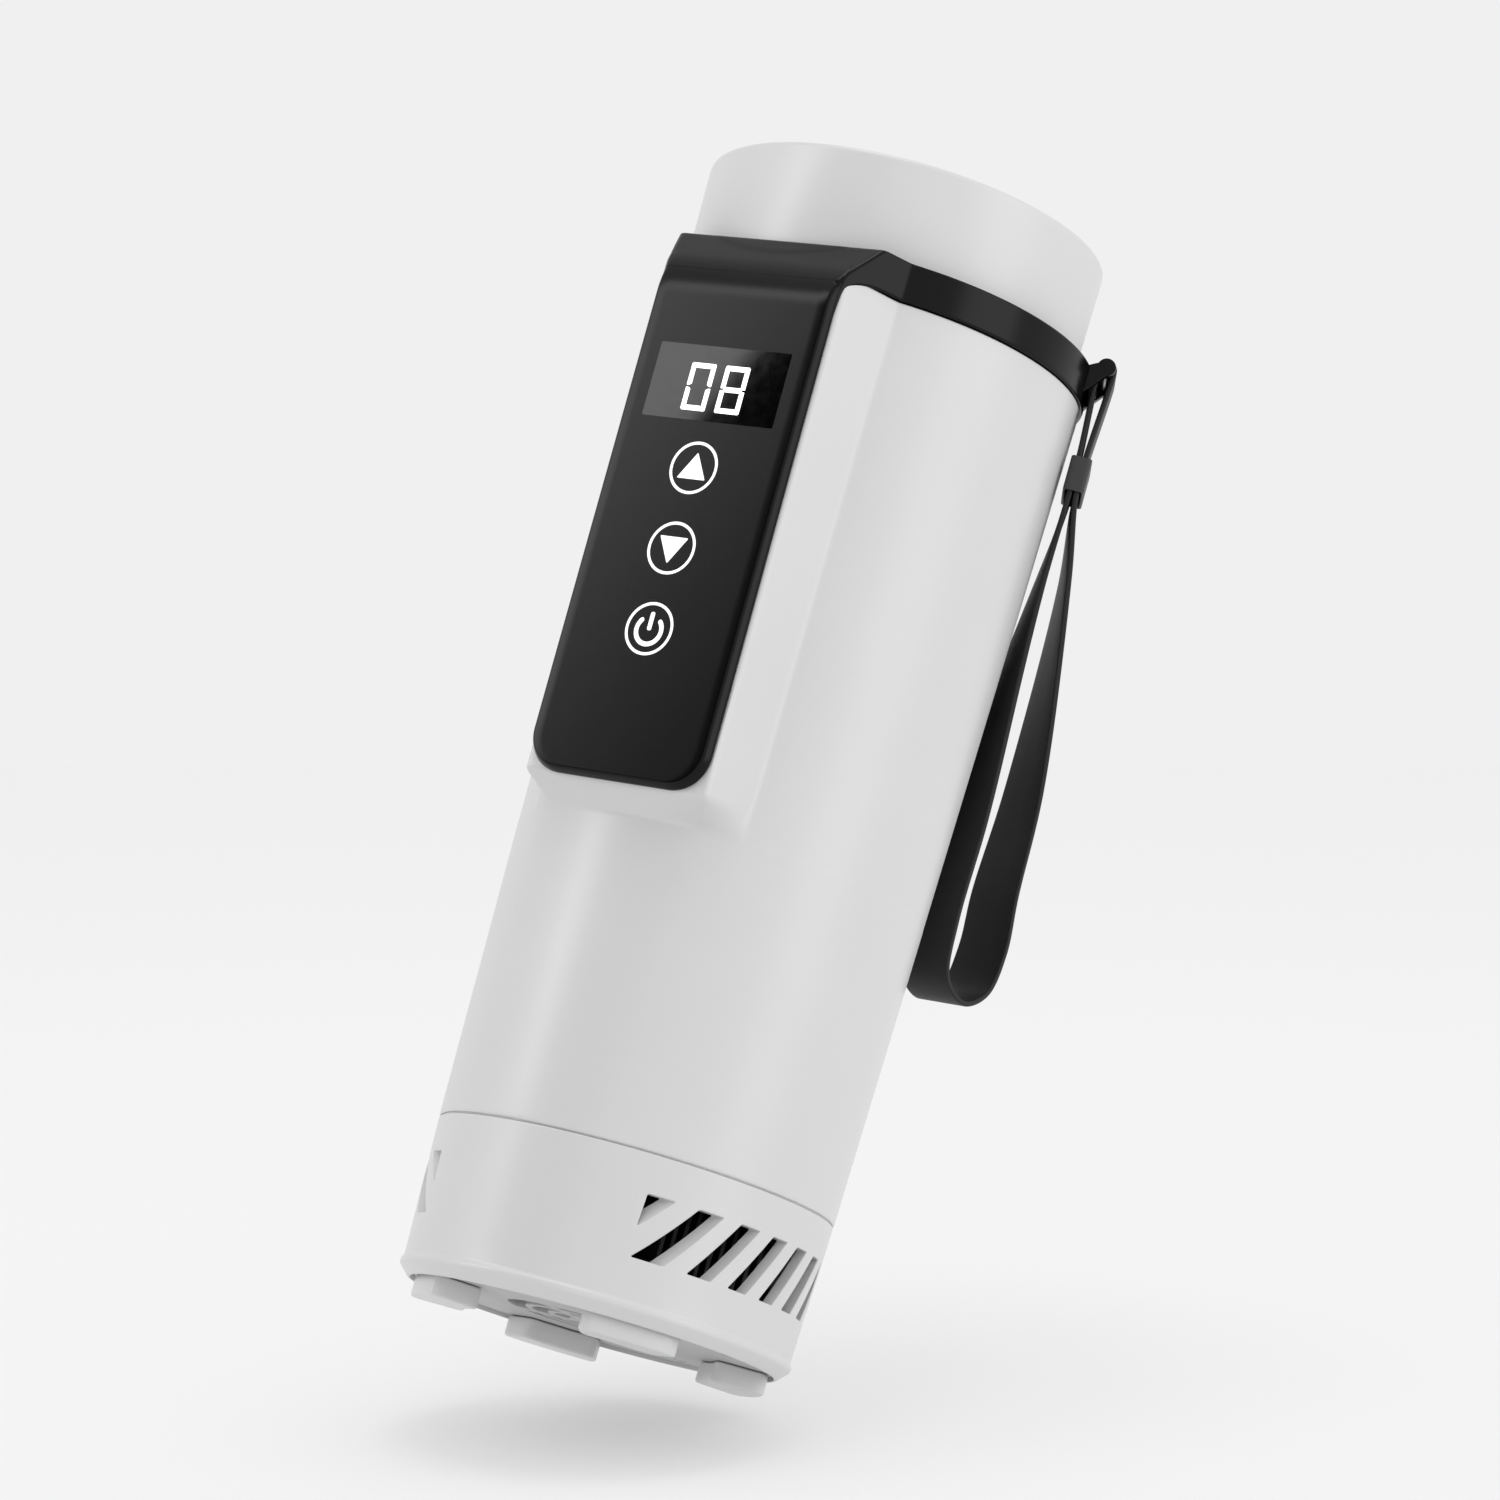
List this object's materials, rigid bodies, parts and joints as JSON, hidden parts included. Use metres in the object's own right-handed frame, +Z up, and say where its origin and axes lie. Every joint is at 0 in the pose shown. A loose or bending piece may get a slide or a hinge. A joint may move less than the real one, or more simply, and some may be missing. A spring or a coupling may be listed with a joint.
{
  "type": "portable medicine cooler",
  "caption": "Handheld thermoelectric cooler flask with lift-off lid, touch panel, vented base with fan, and wrist strap.",
  "frame": {"origin": "middle of the whole footprint, strap included, on the ground plane the feet stand on", "axes": "+Z up along the flask's axis; the touch panel faces -Y; the strap's lug is on the +X side, 28 degrees towards +Y"},
  "size_m": [0.0963, 0.1122, 0.2482],
  "materials": {
    "white_abs": "satin, fine moulded texture",
    "black_abs": "semi-gloss",
    "inner_white": "satin",
    "lens": "polished smoked window",
    "dark_filler": "matte",
    "board": "solder mask, satin",
    "steel": "plain bright",
    "cell": "foil pouch",
    "aluminium": "anodised, satin",
    "black_aluminium": "black anodised",
    "foam": "closed-cell foam",
    "pad": "matte",
    "ceramic": "unglazed",
    "brass": "plain",
    "copper": "enamelled copper",
    "fan_black": "satin",
    "rubber": "matte moulded",
    "silicone": "translucent matte"
  },
  "bodies": {
    "cooler": {"body_shell": "white_abs", "front_panel": "black_abs", "rim_collar": "inner_white", "display_window": "lens", "display_module": "dark_filler", "control_board": "board", "touch_spring_up": "steel", "touch_spring_down": "steel", "touch_spring_power": "steel", "battery_cell_1": "cell", "battery_cell_2": "cell", "cold_cup": "aluminium", "insulation_sleeve": "foam", "cold_block": "aluminium", "thermal_pad_cold": "pad", "peltier_module": "ceramic", "thermal_pad_hot": "pad", "support_plate": "inner_white", "heat_sink": "black_aluminium", "support_screw_1": "steel", "support_screw_2": "steel", "support_screw_3": "steel", "support_screw_4": "steel", "temp_sensor": "brass", "fan_frame": "fan_black", "fan_bearing": "brass", "fan_stator": "copper", "fan_screw_1": "steel", "fan_screw_2": "steel", "fan_screw_3": "steel", "fan_screw_4": "steel", "base_skirt": "white_abs", "base_plate": "inner_white", "foot_front_right": "inner_white", "foot_rear_right": "inner_white", "foot_rear_left": "inner_white", "foot_front_left": "inner_white", "base_screw_1": "steel", "base_screw_2": "steel", "base_screw_3": "steel", "base_screw_4": "steel", "charge_socket": "steel", "charge_board": "board", "wiring_loom": "rubber", "strap_pin": "steel"},
    "lid": {"lid_shell": "white_abs", "lid_plug": "inner_white", "lid_foam": "foam", "lid_seal": "silicone"},
    "rotor": {"fan_rotor": "fan_black", "fan_magnet": "dark_filler", "fan_shaft": "steel"},
    "strap": {"strap": "rubber", "strap_keeper": "rubber"}
  },
  "joints": [
    {"name": "lid_lift", "type": "slide", "parent": "cooler", "child": "lid", "axis": [0, 0, 1], "range_m": [0, 0.06]},
    {"name": "fan_spin", "type": "hinge", "parent": "cooler", "child": "rotor", "pos_m": [-0.0012, -0.0033, 0.0125], "axis": [0, 0, 1], "continuous": true},
    {"name": "strap_swing", "type": "hinge", "parent": "cooler", "child": "strap", "pos_m": [0.04254, 0.01996, 0.2262], "axis": [0.4695, -0.8829, 0], "range_deg": [0, 115]}
  ]
}
